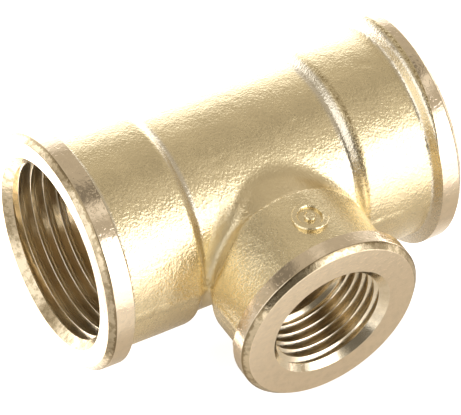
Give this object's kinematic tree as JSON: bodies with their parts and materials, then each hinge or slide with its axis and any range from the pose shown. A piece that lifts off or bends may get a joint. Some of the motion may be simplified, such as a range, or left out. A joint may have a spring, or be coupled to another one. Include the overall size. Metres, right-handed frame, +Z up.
{
  "type": "tee fitting",
  "caption": "Brass reducing tee for pipe: a straight run with a large female-threaded socket at each end and a smaller female-threaded branch at right angles.",
  "frame": {"origin": "centre of the box's underside: directly below the middle of the fitting, at the lowest point of the two large collars", "axes": "+X along the straight run, -Y out of the branch, +Z up, at right angles to both axes of the fitting"},
  "size_m": [0.067, 0.054, 0.041],
  "materials": {
    "brass": "pale yellow brass: shot-blasted satin forging skin with fine orange peel, and bright turned collars, end faces and threads"
  },
  "bodies": {
    "root": {"tee_body": "brass"}
  },
  "joints": []
}
